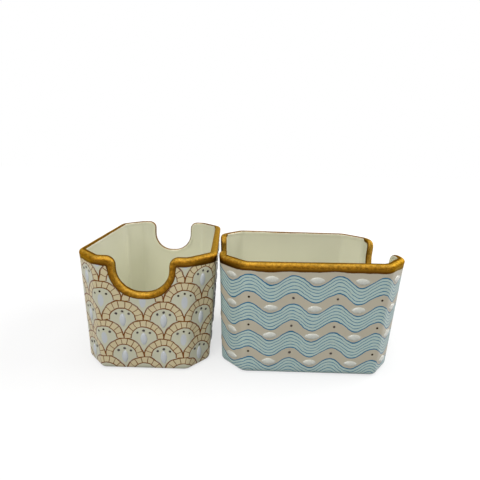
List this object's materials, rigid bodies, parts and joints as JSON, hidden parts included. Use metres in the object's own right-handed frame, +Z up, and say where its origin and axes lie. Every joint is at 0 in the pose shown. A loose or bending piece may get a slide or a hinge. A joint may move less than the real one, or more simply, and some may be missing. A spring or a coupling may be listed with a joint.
{
  "type": "sugar packet holder set",
  "caption": "Set of eight-sided glazed ceramic holders for sugar packets, with leaning walls, a finger notch in each short end and a rolled gilt rim.",
  "frame": {"origin": "on the table, under the middle of the box round the pair", "axes": "+X along the row from the coral holder to the blue one, +Y away from the viewer, +Z up"},
  "size_m": [0.179, 0.102, 0.065],
  "materials": {
    "coral_glaze": "glossy cream glaze inside, satin painted ground in coral brown and tan outside",
    "blue_glaze": "glossy cream glaze inside, satin painted ground in blue and beige outside",
    "gold_lustre": "fired gold lustre, brushed on by hand",
    "white_enamel": "raised white enamel, glossy",
    "dark_enamel": "raised dark brown enamel, glossy"
  },
  "bodies": {
    "coral_holder": {"coral_body": "coral_glaze", "coral_gilt_rim": "gold_lustre", "coral_white_enamel": "white_enamel", "coral_dark_dots": "dark_enamel"},
    "blue_holder": {"blue_body": "blue_glaze", "blue_gilt_rim": "gold_lustre", "blue_white_enamel": "white_enamel", "blue_dark_dots": "dark_enamel"}
  },
  "joints": [
    {"name": "blue_lift", "type": "slide", "parent": "coral_holder", "child": "blue_holder", "axis": [0, 0, 1], "range_m": [0, 0.08]}
  ]
}
